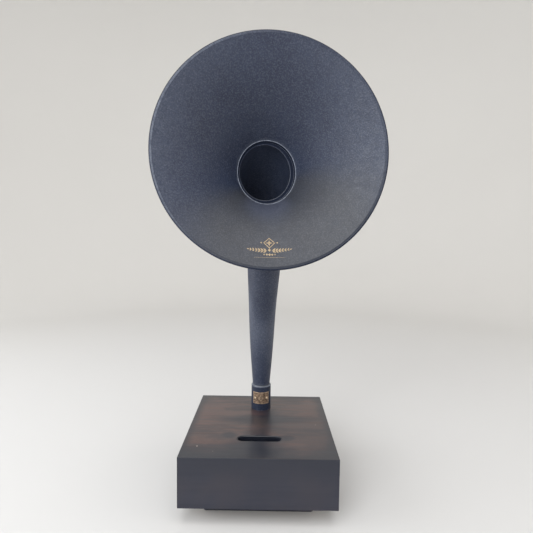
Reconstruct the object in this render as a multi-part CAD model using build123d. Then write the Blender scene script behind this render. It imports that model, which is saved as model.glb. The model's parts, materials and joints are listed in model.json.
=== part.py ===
"""Table-top horn loudspeaker: a wooden sound box with a slot for a telephone and a lift-off metal horn.

The frame's origin is on the ground under the middle of the base. +Z is up, and the front faces -Y.
The horn's solids are made about the socket's axis, facing -Y, and then turned about it by horn_turn.
"""
from build123d import *
import os
from math import acos, atan2, cos, degrees, pi, radians, sin

# ---- Wooden base (mm)
base_size = 210.0            # width and depth of the box
box_height = 68.5
board = 12.0                 # thickness of the top and side boards
bottom_thickness = 9.0
bottom_gap = 0.5             # bottom board to side boards, all round
block_size = 18.0            # square corner blocks
plinth_inset = 30.0
plinth_thickness = 22.0
plinth_corner = 2.0
felt_thickness = 1.0
felt_inset = 1.0

# ---- Telephone slot
slot_length = 61.3
slot_width = 13.9
slot_y = -51.8
slot_easing = 0.8
slot_depth = 30.0            # from the top board's face to the rest pads
liner_thickness = 1.0
guide_margin = 5.25          # wood of the guide block beyond the slot, front and back
rest_length = 14.0           # how far each rest reaches in from the duct's wall
rest_thickness = 6.0
pad_thickness = 1.0

# ---- Sound duct under the top board
duct_half_width = 36.0
duct_wall = 8.0
duct_front_y = -64.0         # inner face of its front wall
duct_back_y = 82.0           # inner face of its back wall
deflector = 20.0             # legs of the 45 degree wedges
seal_thickness = 1.5

# ---- Neck socket
socket_y = 58.4
socket_radius = 16.1
socket_rise = 39.7           # above the top board
tail_radius = 14.0
tail_length = 22.0           # below the top board's upper face
nut_flats = 36.0
nut_height = 8.0
seat_height = 4.0            # inner shoulder above the top board's upper face
sound_bore = 9.5
spigot_radius = 13.5
running_gap = 0.05           # radial clearance of the spigot in its bore
seat_gap = 0.05
washer_thickness = 1.5
washer_gap = 0.35

# ---- Nameplate on the socket
plate_width = 26.0
plate_height = 19.5
plate_thickness = 0.8
plate_middle = 20.85         # above the top board
plate_screw_angle = 34.0
plate_corner = 1.0
plate_screw_radius = 1.0
plate_screw_skin = 0.6       # metal left between the screw's end and the socket's bore
plate_head_radius = 1.9
plate_head_height = 1.2
plate_head_easing = 0.96
plate_slot_width = 0.5
plate_slot_depth = 0.4

# ---- Screws
screw_gap = 0.05
bottom_screw = (3.6, 2.4, 1.75, 20.0)    # head radius, head height, shank radius, length
plinth_screw = (4.2, 2.8, 2.0, 20.0)
recess_length = 1.3          # of the cross in a screw's head, in head radii
recess_width = 0.7
counterbore_radius = 5.2
counterbore_depth = 8.0
plinth_screw_place = 60.0    # from the middle, both ways

# ---- Horn
horn_turn = 4.0              # how far the horn stands turned in its socket, to +X
neck_gap = 0.6               # neck's foot to the socket's lip
neck_wall = 2.2
tenon_length = 11.0
throat_height = 468.7        # middle of the throat above the ground
throat_lean = 72.0           # the centreline's lean from vertical at the throat
throat_plane_lean = 82.0     # lean of the throat's own plane
bend_power = 4.5             # the lean grows as this power of the length along the neck
neck_sway = 2.3              # the neck bows sideways by this much, most at about 0.6 of its length
sway_power = 1.36
neck_outline = (             # share of the neck's length, outer half width
    (0.0, 14.1),
    (0.19, 19.3),
    (0.37, 22.8),
    (0.515, 26.4),
    (0.60, 28.9),
    (0.76, 34.1),
    (0.88, 38.0),
    (1.0, 42.0),
)
least_oval = 0.0005          # the neck is this share taller than wide at its foot
throat_oval = 0.123          # and this share at the throat
oval_power = 6.0
neck_split = 0.60            # share of the length where pipe and elbow meet
elbow_split = 0.82           # and where the elbow's two castings are brazed together
coupling_length = 24.0
coupling_wall = 1.5

throat_half_width = 41.8
throat_half_height = 46.5
ring_thickness = 5.0
ring_proud = 3.2             # outside the bell's throat
ring_lip = 1.7               # inside the bell's throat
ring_step_depth = 2.6        # the wider front part of its bore
ring_bore_half_width = 36.2  # the narrower back part
ring_bore_half_height = 40.6
ring_bore_offset = 2.2       # that back part stands off centre, towards the horn's left
ring_easing = 0.8

mouth_forward = 160.0        # the mouth's middle, forward of the socket's axis
mouth_height = 483.3
mouth_radius = 149.1
mouth_tilt = 3.9             # the mouth looks up by this much
flare_start = 38.0           # slope of the flare at the throat, from the bell's axis
bell_wall = 1.6
bell_overrun = 2.0           # degrees of slope, so that the cut planes have material to cut
rim_bead_radius = 1.7
rim_gap = 0.8                # the sheet stops this far short of where it would touch the bead

# ---- Heights and radii worked out from them
plinth_foot = felt_thickness
box_foot = plinth_foot + plinth_thickness
box_top = box_foot + box_height
board_under = box_top - board
bottom_top = box_foot + bottom_thickness
half_inside = base_size / 2 - board
block_place = half_inside - block_size / 2
plinth_half = base_size / 2 - plinth_inset
rest_top = box_top - slot_depth - pad_thickness
guide_half_depth = slot_width / 2 + guide_margin
socket_top = box_top + socket_rise
socket_bore = spigot_radius + running_gap
seat_z = box_top + seat_height
washer_foot = seat_z + seat_gap
spigot_foot = washer_foot + washer_thickness + seat_gap
neck_foot = socket_top + neck_gap
duct_foot = bottom_top + seal_thickness
overrun = 1.0                # how far a cutting solid reaches past what it cuts
standing = (Align.CENTER, Align.CENTER, Align.MIN)


def slab(x_size, y_size, foot, top, radius=0.0):
    """A board centred on the origin, from foot to top, with its upright corners rounded."""
    outline = RectangleRounded(x_size, y_size, radius) if radius else Rectangle(x_size, y_size)
    return Pos(0, 0, foot) * extrude(outline, top - foot)


def block(x_range, y_range, z_range):
    """A rectangular block between two corners."""
    sizes = [high - low for low, high in (x_range, y_range, z_range)]
    corner = Pos(x_range[0], y_range[0], z_range[0])
    return corner * Box(*sizes, align=(Align.MIN, Align.MIN, Align.MIN))


def slot_prism(length, width, foot, top):
    """A round-ended prism at the telephone slot's place."""
    return Pos(0, slot_y, foot) * extrude(SlotOverall(length, width), top - foot)


def tube(outer_radius, inner_radius, foot, top):
    """An upright tube about the local Z axis."""
    return Pos(0, 0, foot) * extrude(Circle(outer_radius) - Circle(inner_radius), top - foot)


def wood_screw(size, gap=0.0):
    """A countersunk screw pointing up, its head's face at z = 0, or with a gap the hole that it fits."""
    head_radius, head_height, shank_radius, length = size
    head = Cone(head_radius + gap, shank_radius + gap, head_height, align=standing)
    shank = Cylinder(shank_radius + gap, length + gap, align=standing)
    screw = head + shank
    if gap == 0.0:
        recess = Box(head_radius * recess_length, recess_width, head_height)
        screw = screw - recess - Rot(0, 0, 90) * recess
    return screw


def four_corners(distance):
    """The four places at this distance from the middle, both ways."""
    return [Pos(x, y) for x in (-distance, distance) for y in (-distance, distance)]


# ---- Base
def side_board():
    """The front board: a mitre on both ends and along its top, so that no joint shows on a face."""
    outer = Plane(origin=(0, -base_size / 2, 0), x_dir=(1, 0, 0), z_dir=(0, 1, 0))
    inner = Plane(origin=(0, -half_inside, 0), x_dir=(1, 0, 0), z_dir=(0, 1, 0))
    low, high, high_inside = -box_foot, -box_top, -board_under
    outer_face = outer * Pos(0, (low + high) / 2) * Rectangle(base_size, box_height)
    inner_face = inner * Pos(0, (low + high_inside) / 2) * Rectangle(2 * half_inside, low - high_inside)
    return loft([outer_face, inner_face], ruled=True)


def top_board():
    """The top board, mitred to the sides, with the telephone slot and the socket's hole."""
    lower_face = Plane.XY.offset(board_under) * Rectangle(2 * half_inside, 2 * half_inside)
    upper_face = Plane.XY.offset(box_top) * Rectangle(base_size, base_size)
    top = loft([lower_face, upper_face], ruled=True)
    top -= slot_prism(slot_length, slot_width, board_under - overrun, box_top + overrun)
    top -= Pos(0, socket_y, board_under - overrun) * extrude(Circle(tail_radius), board + 2 * overrun)
    lip = Plane.XY.offset(box_top) * Pos(0, slot_y) * SlotOverall(
        slot_length + 2 * slot_easing, slot_width + 2 * slot_easing)
    lip_foot = Plane.XY.offset(box_top - slot_easing) * Pos(0, slot_y) * SlotOverall(slot_length, slot_width)
    return top - loft([lip_foot, lip])


def bottom_board():
    """The bottom board, screwed to the corner blocks, with the plinth's screws ending in it."""
    size = 2 * (half_inside - bottom_gap)
    part = slab(size, size, box_foot, bottom_top)
    for place in four_corners(block_place):
        part -= place * Pos(0, 0, box_foot) * wood_screw(bottom_screw, screw_gap)
    for place in four_corners(plinth_screw_place):
        part -= place * Pos(0, 0, plinth_foot + counterbore_depth) * wood_screw(plinth_screw, screw_gap)
    return part


def corner_block(place):
    """A glued block in one corner of the box, with the hole for its bottom screw."""
    part = place * slab(block_size, block_size, bottom_top, board_under)
    return part - place * Pos(0, 0, box_foot) * wood_screw(bottom_screw, screw_gap)


def plinth_board():
    """The recessed plinth, with a counterbored screw near each corner."""
    part = slab(2 * plinth_half, 2 * plinth_half, plinth_foot, box_foot, plinth_corner)
    for place in four_corners(plinth_screw_place):
        part -= place * Pos(0, 0, plinth_foot) * Cylinder(
            counterbore_radius, counterbore_depth, align=standing)
        part -= place * Pos(0, 0, plinth_foot + counterbore_depth) * wood_screw(plinth_screw, screw_gap)
    return part


def felt_base():
    """The felt sheet that the object stands on."""
    size = 2 * (plinth_half - felt_inset)
    return slab(size, size, 0, felt_thickness, plinth_corner)


# ---- Slot and duct
def slot_guide():
    """The block under the top board that holds the telephone upright."""
    part = block((-duct_half_width, duct_half_width),
                 (slot_y - guide_half_depth, slot_y + guide_half_depth),
                 (rest_top + pad_thickness, board_under))
    return part - slot_prism(slot_length, slot_width, rest_top, box_top)


def slot_liner():
    """Felt round the inside of the guide block."""
    part = slot_prism(slot_length, slot_width, rest_top + pad_thickness, board_under)
    return part - slot_prism(slot_length - 2 * liner_thickness, slot_width - 2 * liner_thickness,
                             rest_top, box_top)


def phone_rest(side, foot, top):
    """The ledge, or its pad, under one end of the slot; the middle stays open for the sound."""
    inner, outer = duct_half_width - rest_length, duct_half_width
    x_range = (inner, outer) if side > 0 else (-outer, -inner)
    return block(x_range, (slot_y - guide_half_depth, slot_y + guide_half_depth), (foot, top))


def duct_side(side):
    """One long wall of the duct."""
    near, far = duct_half_width, duct_half_width + duct_wall
    x_range = (near, far) if side > 0 else (-far, -near)
    return block(x_range, (duct_front_y - duct_wall, duct_back_y + duct_wall), (duct_foot, board_under))


def duct_end(near, far):
    """One end wall of the duct."""
    return block((-duct_half_width, duct_half_width), (near, far), (duct_foot, board_under))


def duct_seal():
    """The foam frame between the duct's walls and the bottom board."""
    outer = block((-duct_half_width - duct_wall, duct_half_width + duct_wall),
                  (duct_front_y - duct_wall, duct_back_y + duct_wall), (bottom_top, duct_foot))
    return outer - block((-duct_half_width, duct_half_width), (duct_front_y, duct_back_y),
                         (bottom_top, duct_foot))


def sound_deflector(corner_y, towards):
    """A 45 degree wedge in one end of the duct, glued to the bottom board."""
    side_plane = Plane(origin=(-duct_half_width, 0, 0), x_dir=(0, 1, 0), z_dir=(1, 0, 0))
    outline = Polygon((corner_y, bottom_top), (corner_y + towards * deflector, bottom_top),
                      (corner_y, bottom_top + deflector), align=None)
    return extrude(side_plane * outline, 2 * duct_half_width, dir=(1, 0, 0))


# ---- Socket
def neck_socket():
    """The collar that holds the horn, with a tail through the top board and an inner shoulder."""
    part = tube(socket_radius, sound_bore, box_top, socket_top)
    part += tube(tail_radius, sound_bore, box_top - tail_length, box_top)
    part -= Pos(0, 0, seat_z) * extrude(Circle(socket_bore), socket_top - seat_z + overrun)
    for angle in (-plate_screw_angle, plate_screw_angle):
        part -= radial_place(angle) * plate_screw_blank(screw_gap)
    return Pos(0, socket_y) * part


def socket_nut():
    """The hexagonal nut that clamps the socket under the top board."""
    hexagon = RegularPolygon(nut_flats / 2, 6, major_radius=False)
    part = extrude(hexagon - Circle(tail_radius), nut_height)
    return Pos(0, socket_y, board_under - nut_height) * part


def radial_place(angle):
    """On the nameplate's middle line at this angle, local +Z pointing outwards from the socket's surface."""
    return Pos(0, 0, box_top + plate_middle) * Rot(0, 0, angle) * Rot(90, 0, 0) * Pos(0, 0, socket_radius)


def plate_screw_blank(gap=0.0):
    """The shank of a nameplate screw, or its hole, through the plate and into the socket's wall."""
    depth = socket_radius - socket_bore - plate_screw_skin
    shank = Cylinder(plate_screw_radius + gap, depth + plate_thickness, align=standing)
    return Pos(0, 0, -depth) * shank


def nameplate():
    """The plain brass plate bent round the front of the socket."""
    shell = tube(socket_radius + plate_thickness, socket_radius, box_top, socket_top)
    front = Plane(origin=(0, 0, box_top + plate_middle), x_dir=(1, 0, 0), z_dir=(0, -1, 0))
    outline = extrude(front * RectangleRounded(plate_width, plate_height, plate_corner), 2 * socket_radius)
    part = shell & outline
    for angle in (-plate_screw_angle, plate_screw_angle):
        part -= radial_place(angle) * Cylinder(plate_screw_radius + screw_gap, 4 * plate_thickness)
    return Pos(0, socket_y) * part


def nameplate_screws():
    """The two round-headed brass screws of the nameplate."""
    head = Pos(0, 0, plate_thickness) * extrude(Circle(plate_head_radius), plate_head_height)
    head = fillet(head.edges().group_by(Axis.Z)[-1], plate_head_easing)
    slot = Pos(0, 0, plate_thickness + plate_head_height) * Box(
        2 * plate_head_radius, plate_slot_width, 2 * plate_slot_depth)
    screw = head + plate_screw_blank() - slot
    screws = [radial_place(angle) * screw for angle in (-plate_screw_angle, plate_screw_angle)]
    return Pos(0, socket_y) * (screws[0] + screws[1])


# ---- Horn: forward distances run along -Y from the socket's axis
def in_horn(forward, height, lean, aside=0.0):
    """A plane square to a direction that leans forward from vertical, its local Y towards the top."""
    tilt = radians(lean)
    return Plane(origin=(aside, -forward, height), x_dir=(1, 0, 0), z_dir=(0, -sin(tilt), cos(tilt)))


def neck_run(share):
    """Reach forward and rise at this share of the neck's length, both per unit of that length."""
    steps = 200
    reach = rise = 0.0
    for i in range(steps):
        lean = radians(throat_lean) * (share * (i + 0.5) / steps) ** bend_power
        reach += sin(lean) * share / steps
        rise += cos(lean) * share / steps
    return reach, rise


# The throat ring's front face is the bell's start, and its back face is the neck's end.
throat_back_rise = throat_height - ring_thickness * cos(radians(throat_plane_lean))
neck_length = (throat_back_rise - neck_foot) / neck_run(1.0)[1]
throat_forward = neck_run(1.0)[0] * neck_length + ring_thickness * sin(radians(throat_plane_lean))


def neck_plane(share):
    """The neck's section plane at this share of its length."""
    reach, rise = neck_run(share)
    lean = throat_plane_lean * share ** bend_power
    sway = neck_sway * sin(pi * share ** sway_power) ** 4
    return in_horn(reach * neck_length, neck_foot + rise * neck_length, lean, sway)


def neck_solid(inset):
    """The neck's outer form, or with an inset the form inside its wall."""
    sections = []
    for share, half_width in neck_outline:
        radius = half_width - inset
        oval = 1 + least_oval + (throat_oval - least_oval) * share ** oval_power
        sections.append(neck_plane(share) * Ellipse(radius, radius * oval))
    return loft(sections)


def neck_pieces():
    """The straight neck pipe, the elbow's two castings and the coupling sleeve inside the pipe's joint."""
    bore = neck_solid(neck_wall)
    neck = neck_solid(0) - bore
    joint = neck_plane(neck_split)
    brazed_joint = neck_plane(elbow_split)
    pipe = split(neck, bisect_by=joint, keep=Keep.BOTTOM)
    elbow = split(neck, bisect_by=joint, keep=Keep.TOP)
    lower_elbow = split(elbow, bisect_by=brazed_joint, keep=Keep.BOTTOM)
    upper_elbow = split(elbow, bisect_by=brazed_joint, keep=Keep.TOP)
    sleeve = bore - neck_solid(neck_wall + coupling_wall)
    sleeve = split(sleeve, bisect_by=joint.offset(-coupling_length / 2), keep=Keep.TOP)
    sleeve = split(sleeve, bisect_by=joint.offset(coupling_length / 2), keep=Keep.BOTTOM)
    return pipe, lower_elbow, upper_elbow, sleeve


def spigot():
    """The turned foot of the horn: it drops into the socket, and its tenon holds the neck."""
    part = tube(spigot_radius, sound_bore, spigot_foot, neck_foot)
    tenon_radius = neck_outline[0][1] - neck_wall - running_gap
    return part + tube(tenon_radius, sound_bore, neck_foot, neck_foot + tenon_length)


def throat_ring():
    """The oval ring between elbow and bell: proud outside, with a bore that steps in behind its front lip."""
    front = in_horn(throat_forward, throat_height, throat_plane_lean)
    outer = Ellipse(throat_half_width + ring_proud, throat_half_height + ring_proud)
    front_bore = Ellipse(throat_half_width - ring_lip, throat_half_height - ring_lip)
    back_bore = Pos(-ring_bore_offset, 0) * Ellipse(ring_bore_half_width, ring_bore_half_height)
    blank = extrude(front * outer, -ring_thickness)
    blank = fillet(blank.edges(), ring_easing)
    return blank - extrude(front * front_bore, -ring_step_depth) - extrude(front * back_bore, -ring_thickness)


# The flare is an arc from flare_start to flare_end, whose chord joins the throat to the mouth.
bell_depth = (mouth_forward - throat_forward) / cos(radians(mouth_tilt))
throat_mean = (throat_half_width + throat_half_height) / 2
chord_slope = degrees(atan2(mouth_radius - throat_mean, bell_depth))
flare_end = 2 * chord_slope - flare_start
flare_radius = bell_depth / (sin(radians(flare_end)) - sin(radians(flare_start)))
axis_drop = (mouth_forward - throat_forward) * sin(radians(mouth_tilt)) / cos(radians(mouth_tilt))
throat_offset = throat_height - (mouth_height - axis_drop)

# The rim bead touches the sheet's inner face from behind, so that the sheet seems to roll over it.
rim_centre_radius = mouth_radius - rim_bead_radius
arc_centre_radius = throat_mean + flare_radius * cos(radians(flare_start))
rim_slope = acos((arc_centre_radius - rim_centre_radius) / (flare_radius - rim_bead_radius))
rim_touch_radius = arc_centre_radius - flare_radius * cos(rim_slope)
rim_back = flare_radius * (sin(radians(flare_end)) - sin(rim_slope)) + rim_bead_radius * sin(rim_slope)


def bell_section(slope, offset):
    """The bell's section where its flare has this slope, moved out square to the sheet by an offset."""
    angle, start = radians(slope), radians(flare_start)
    depth = flare_radius * (sin(angle) - sin(start)) - offset * sin(angle)
    radius = throat_mean + flare_radius * (cos(start) - cos(angle)) + offset * cos(angle)
    left = 1 - depth / bell_depth
    tilt = radians(mouth_tilt)
    back = bell_depth - depth
    forward = mouth_forward - back * cos(tilt)
    height = mouth_height - back * sin(tilt) + throat_offset * left ** 3
    lean = 90 - mouth_tilt + (throat_plane_lean - 90 + mouth_tilt) * left ** 2
    half_width = radius + (throat_half_width - throat_mean) * left ** 2
    half_height = radius * (1 + least_oval) + (throat_half_height - throat_mean) * left ** 2
    return in_horn(forward, height, lean) * Ellipse(half_width, half_height)


def bell_form(offset, steps=8):
    """The solid inside the flare's inner face, or with an offset inside its outer face."""
    first, last = flare_start - bell_overrun, flare_end + bell_overrun
    slopes = [first + (last - first) * i / steps for i in range(steps + 1)]
    return loft([bell_section(slope, offset) for slope in slopes])


def rim_bead():
    """The wire round the mouth."""
    mouth = in_horn(mouth_forward, mouth_height, 90 - mouth_tilt)
    return mouth * Pos(0, 0, -rim_back) * Torus(rim_centre_radius, rim_bead_radius)


def bell():
    """The flared sheet from the throat ring to the rim bead."""
    sheet = bell_form(bell_wall) - bell_form(0)
    mouth = in_horn(mouth_forward, mouth_height, 90 - mouth_tilt)
    sheet &= mouth * Cylinder(rim_touch_radius - rim_gap, 3 * bell_depth)
    throat = in_horn(throat_forward, throat_height, throat_plane_lean)
    sheet = split(sheet, bisect_by=throat, keep=Keep.TOP)
    return sheet - rim_bead()


def in_place(part):
    """A horn piece on the socket's axis, turned as the horn stands."""
    return Pos(0, socket_y) * Rot(0, 0, horn_turn) * part


# ---- Every node by name
pipe, lower_elbow, upper_elbow, sleeve = neck_pieces()
nodes = {
    "top_board": top_board(),
    "bottom_board": bottom_board(),
    "plinth_board": plinth_board(),
    "felt_base": felt_base(),
    "bottom_screws": Part() + [
        place * Pos(0, 0, box_foot) * wood_screw(bottom_screw) for place in four_corners(block_place)],
    "plinth_screws": Part() + [
        place * Pos(0, 0, plinth_foot + counterbore_depth) * wood_screw(plinth_screw)
        for place in four_corners(plinth_screw_place)],
    "slot_guide": slot_guide(),
    "slot_liner": slot_liner(),
    "duct_front": duct_end(duct_front_y - duct_wall, duct_front_y),
    "duct_back": duct_end(duct_back_y, duct_back_y + duct_wall),
    "duct_seal": duct_seal(),
    "front_deflector": sound_deflector(duct_front_y, 1),
    "back_deflector": sound_deflector(duct_back_y, -1),
    "neck_socket": neck_socket(),
    "socket_nut": socket_nut(),
    "nameplate": nameplate(),
    "nameplate_screws": nameplate_screws(),
    "seat_washer": Pos(0, socket_y) * tube(
        socket_bore - washer_gap, sound_bore, washer_foot, washer_foot + washer_thickness),
    "spigot": in_place(spigot()),
    "neck_pipe": in_place(pipe),
    "elbow_lower": in_place(lower_elbow),
    "elbow_upper": in_place(upper_elbow),
    "neck_coupling": in_place(sleeve),
    "throat_ring": in_place(throat_ring()),
    "bell": in_place(bell()),
    "rim_bead": in_place(rim_bead()),
}
for name, turn in (("front_board", 0), ("right_board", 90), ("back_board", 180), ("left_board", 270)):
    nodes[name] = Rot(0, 0, turn) * side_board()
for name, side in (("left", -1), ("right", 1)):
    nodes["duct_" + name] = duct_side(side)
    nodes["phone_rest_" + name] = phone_rest(side, rest_top - rest_thickness, rest_top)
    nodes["rest_pad_" + name] = phone_rest(side, rest_top, rest_top + pad_thickness)
    for end, sign in (("front", -1), ("back", 1)):
        nodes["corner_block_" + end + "_" + name] = corner_block(Pos(side * block_place, sign * block_place))

os.makedirs("parts", exist_ok=True)
for name, part in nodes.items():
    export_step(part, "parts/" + name + ".step")
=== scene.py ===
"""Looks of the table-top horn loudspeaker: textured navy horn, dark stained box, brass plate, studio light.

The CAD frame holds every place and size. The horn is rebuilt here as smooth double-walled shells on the
same formulas as its solids, in metres. They are made about the socket's axis with the mouth towards -Y,
and then turned about it by HORN_TURN, as the horn stands.
"""
import json
import math

import bmesh
import bpy
from mathutils import Matrix, Vector


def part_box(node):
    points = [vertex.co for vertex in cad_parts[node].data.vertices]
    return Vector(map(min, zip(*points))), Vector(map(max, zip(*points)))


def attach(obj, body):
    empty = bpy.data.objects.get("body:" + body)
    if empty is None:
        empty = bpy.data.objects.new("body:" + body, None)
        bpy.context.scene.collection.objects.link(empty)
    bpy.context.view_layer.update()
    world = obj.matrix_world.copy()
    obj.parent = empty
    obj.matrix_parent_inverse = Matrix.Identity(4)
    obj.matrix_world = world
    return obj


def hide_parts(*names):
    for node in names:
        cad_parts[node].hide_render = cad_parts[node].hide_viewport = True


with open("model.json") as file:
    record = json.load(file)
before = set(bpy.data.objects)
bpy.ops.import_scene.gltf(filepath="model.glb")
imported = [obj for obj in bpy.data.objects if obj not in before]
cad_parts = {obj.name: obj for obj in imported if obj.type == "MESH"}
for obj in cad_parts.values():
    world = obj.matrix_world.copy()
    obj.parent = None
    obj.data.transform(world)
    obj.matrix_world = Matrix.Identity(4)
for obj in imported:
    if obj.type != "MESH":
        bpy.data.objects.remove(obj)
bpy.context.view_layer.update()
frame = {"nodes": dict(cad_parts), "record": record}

MM = 0.001
COLUMNS = 144                # points round the horn's shells
sin, cos, radians = math.sin, math.cos, math.radians

# ---- Places taken from the frame
top_low, top_high = (Vector(corner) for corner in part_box("top_board"))
socket_low, socket_high = (Vector(corner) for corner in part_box("neck_socket"))
plate_low, plate_high = (Vector(corner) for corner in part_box("nameplate"))
mounts = {mount["name"]: Vector(mount["pos_m"]) for mount in frame["record"]["mounts"]}
BOX_TOP = top_high.z
BOX_HALF = top_high.x
SOCKET_X = (socket_low.x + socket_high.x) / 2
SOCKET_Y = (socket_low.y + socket_high.y) / 2
SOCKET_RADIUS = (socket_high.x - socket_low.x) / 2
SOCKET_TOP = socket_high.z
SLOT = mounts["phone_slot"]
SLOT_HALF_WIDTH = 6.95 * MM  # the slot is a straight run with round ends
SLOT_HALF_RUN = 23.7 * MM

# ---- Horn, with the driving sizes of its solids
HORN_TURN = radians(4.0)
NECK_FOOT = SOCKET_TOP + 0.6 * MM
NECK_WALL = 2.2 * MM
THROAT_HEIGHT = 468.7 * MM
THROAT_LEAN = radians(72.0)
THROAT_PLANE_LEAN = radians(82.0)
BEND_POWER = 4.5
NECK_SWAY = 2.3 * MM
SWAY_POWER = 1.36
NECK_OUTLINE = (             # share of the neck's length, outer half width in mm
    (0.0, 14.1), (0.19, 19.3), (0.37, 22.8), (0.515, 26.4),
    (0.60, 28.9), (0.76, 34.1), (0.88, 38.0), (1.0, 42.0),
)
THROAT_OVAL = 0.123
OVAL_POWER = 6.0
NECK_SPLIT = 0.60
THROAT_HALF_WIDTH = 41.8 * MM
THROAT_HALF_HEIGHT = 46.5 * MM
RING_THICKNESS = 5.0 * MM
RING_BORE_HALF_WIDTH = 36.2 * MM
RING_BORE_HALF_HEIGHT = 40.6 * MM
RING_BORE_OFFSET = 2.2 * MM
MOUTH_FORWARD = 160.0 * MM
MOUTH_HEIGHT = 483.3 * MM
MOUTH_RADIUS = 149.1 * MM
MOUTH_TILT = radians(3.9)
FLARE_START = radians(38.0)
BELL_WALL = 1.6 * MM
BEAD_RADIUS = 1.7 * MM


# ---- Materials
class Shade:
    """A material with its Principled shader, and short calls for the nodes that feed it."""

    def __init__(self, name, **values):
        self.material = bpy.data.materials.new(name)
        self.material.use_nodes = True
        self.tree = self.material.node_tree
        self.shader = self.tree.nodes["Principled BSDF"]
        for key, value in values.items():
            self.shader.inputs[key.replace("_", " ")].default_value = value
        self.place = self.tree.nodes.new("ShaderNodeTexCoord").outputs["Object"]

    def put(self, socket, value):
        """Links value into a socket if it is a node's output, or else stores it there."""
        if isinstance(value, bpy.types.NodeSocket):
            self.tree.links.new(value, socket)
        else:
            socket.default_value = value

    def node(self, kind, *inputs, **settings):
        """A new node with its settings, and its first inputs filled in order."""
        made = self.tree.nodes.new("ShaderNode" + kind)
        for key, value in settings.items():
            setattr(made, key, value)
        for socket, value in zip(made.inputs, inputs):
            if value is not None:
                self.put(socket, value)
        return made

    def stretch(self, scale, place=None):
        """The piece's own coordinates, multiplied by a scale along X, Y and Z."""
        return self.node("VectorMath", place or self.place, scale, operation="MULTIPLY").outputs[0]

    def noise(self, scale, detail=3.0, roughness=0.5, distortion=0.0, place=None):
        made = self.node("TexNoise")
        self.put(made.inputs["Vector"], place or self.place)
        for key, value in (("Scale", scale), ("Detail", detail), ("Roughness", roughness),
                           ("Distortion", distortion)):
            made.inputs[key].default_value = value
        return made.outputs["Fac"]

    def grains(self, scale, place=None):
        """Rounded cells, for pimpled paint and hammered metal."""
        made = self.node("TexVoronoi", feature="SMOOTH_F1")
        self.put(made.inputs["Vector"], place or self.place)
        made.inputs["Scale"].default_value = scale
        return made.outputs["Distance"]

    def math(self, operation, first, second=0.0, clamp=False):
        return self.node("Math", first, second, operation=operation, use_clamp=clamp).outputs[0]

    def remap(self, value, low, high, to_low=0.0, to_high=1.0):
        """value from low..high to to_low..to_high, eased at both ends and held there beyond them."""
        return self.node("MapRange", value, low, high, to_low, to_high,
                         interpolation_type="SMOOTHSTEP").outputs[0]

    def mix(self, share, first, second):
        made = self.node("Mix", data_type="RGBA")
        self.put(made.inputs[0], share)
        self.put(made.inputs[6], first)
        self.put(made.inputs[7], second)
        return made.outputs[2]

    def feed(self, socket, value):
        self.put(self.shader.inputs[socket], value)

    def bump(self, height, depth, strength=1.0, under=None):
        """A bump of this depth in metres, over an earlier one if there is one."""
        made = self.node("Bump")
        made.inputs["Strength"].default_value = strength
        made.inputs["Distance"].default_value = depth
        self.put(made.inputs["Height"], height)
        if under:
            self.put(made.inputs["Normal"], under)
        return made.outputs["Normal"]

    def attribute(self, name):
        return self.node("Attribute", attribute_name=name).outputs["Fac"]


def colour(red, green, blue):
    return (red, green, blue, 1.0)


def horn_paint():
    """Grainy blue-black powder coat, paler where it faces up: dust and painted light. Point values above 0
    make it paler (wear and painted highlights), below 0 darker (painted shade).
    """
    shade = Shade("horn_paint")
    patches = shade.noise(26.0, 4.0, 0.55)
    crumbs = shade.noise(540.0, 2.0, 0.65)
    pits = shade.grains(620.0)
    wear_and_light = shade.attribute("wear_and_light")
    deep, light = colour(0.0112, 0.0180, 0.0450), colour(0.0160, 0.0250, 0.0560)
    skin = shade.mix(shade.remap(patches, 0.3, 0.7), deep, light)
    skin = shade.mix(shade.remap(crumbs, 0.44, 0.66, 0.0, 0.85), skin, colour(0.049, 0.060, 0.092))
    skin = shade.mix(shade.remap(pits, 0.12, 0.50, 0.55, 0.0), skin, colour(0.005, 0.008, 0.024))
    # Paler where it faces up, less where it faces right: dust and painted light.
    facing = shade.node("SeparateXYZ", shade.node("NewGeometry").outputs["Normal"]).outputs
    facing_right = shade.math("MULTIPLY", facing[0], 0.45, clamp=True)
    dust_and_light = shade.remap(shade.math("SUBTRACT", facing[2], facing_right), 0.02, 0.36, 0.0, 0.32)
    brown_dust_and_light, pale_dust_and_light = colour(0.066, 0.060, 0.037), colour(0.130, 0.137, 0.168)
    dust_and_light_tone = shade.mix(shade.remap(facing[2], 0.62, 0.84), brown_dust_and_light, pale_dust_and_light)
    skin = shade.mix(dust_and_light, skin, dust_and_light_tone)
    # Point values below 0: painted shade, darker and with less reflection.
    painted_shade = shade.math("MULTIPLY", wear_and_light, -1.0, clamp=True)
    skin = shade.mix(painted_shade, skin, colour(0.006, 0.010, 0.024))
    ragged = shade.noise(240.0, 5.0, 0.7)
    # Point values above 0: pale wear and painted highlights.
    worn_and_lit = shade.math("MULTIPLY", wear_and_light, shade.remap(ragged, 0.36, 0.60, 0.45, 1.0), clamp=True)
    shade.feed("Base Color", shade.mix(worn_and_lit, skin, colour(0.30, 0.33, 0.40)))
    shade.feed("Roughness", shade.remap(shade.noise(120.0, 3.0), 0.25, 0.75, 0.42, 0.56))
    shade.feed("Specular IOR Level", shade.remap(painted_shade, 0.0, 1.0, 0.5, 0.08))
    orange_peel = shade.bump(crumbs, 0.0004, 0.6)
    shade.feed("Normal", shade.bump(pits, 0.0003, 0.5, orange_peel))
    return shade.material


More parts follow.
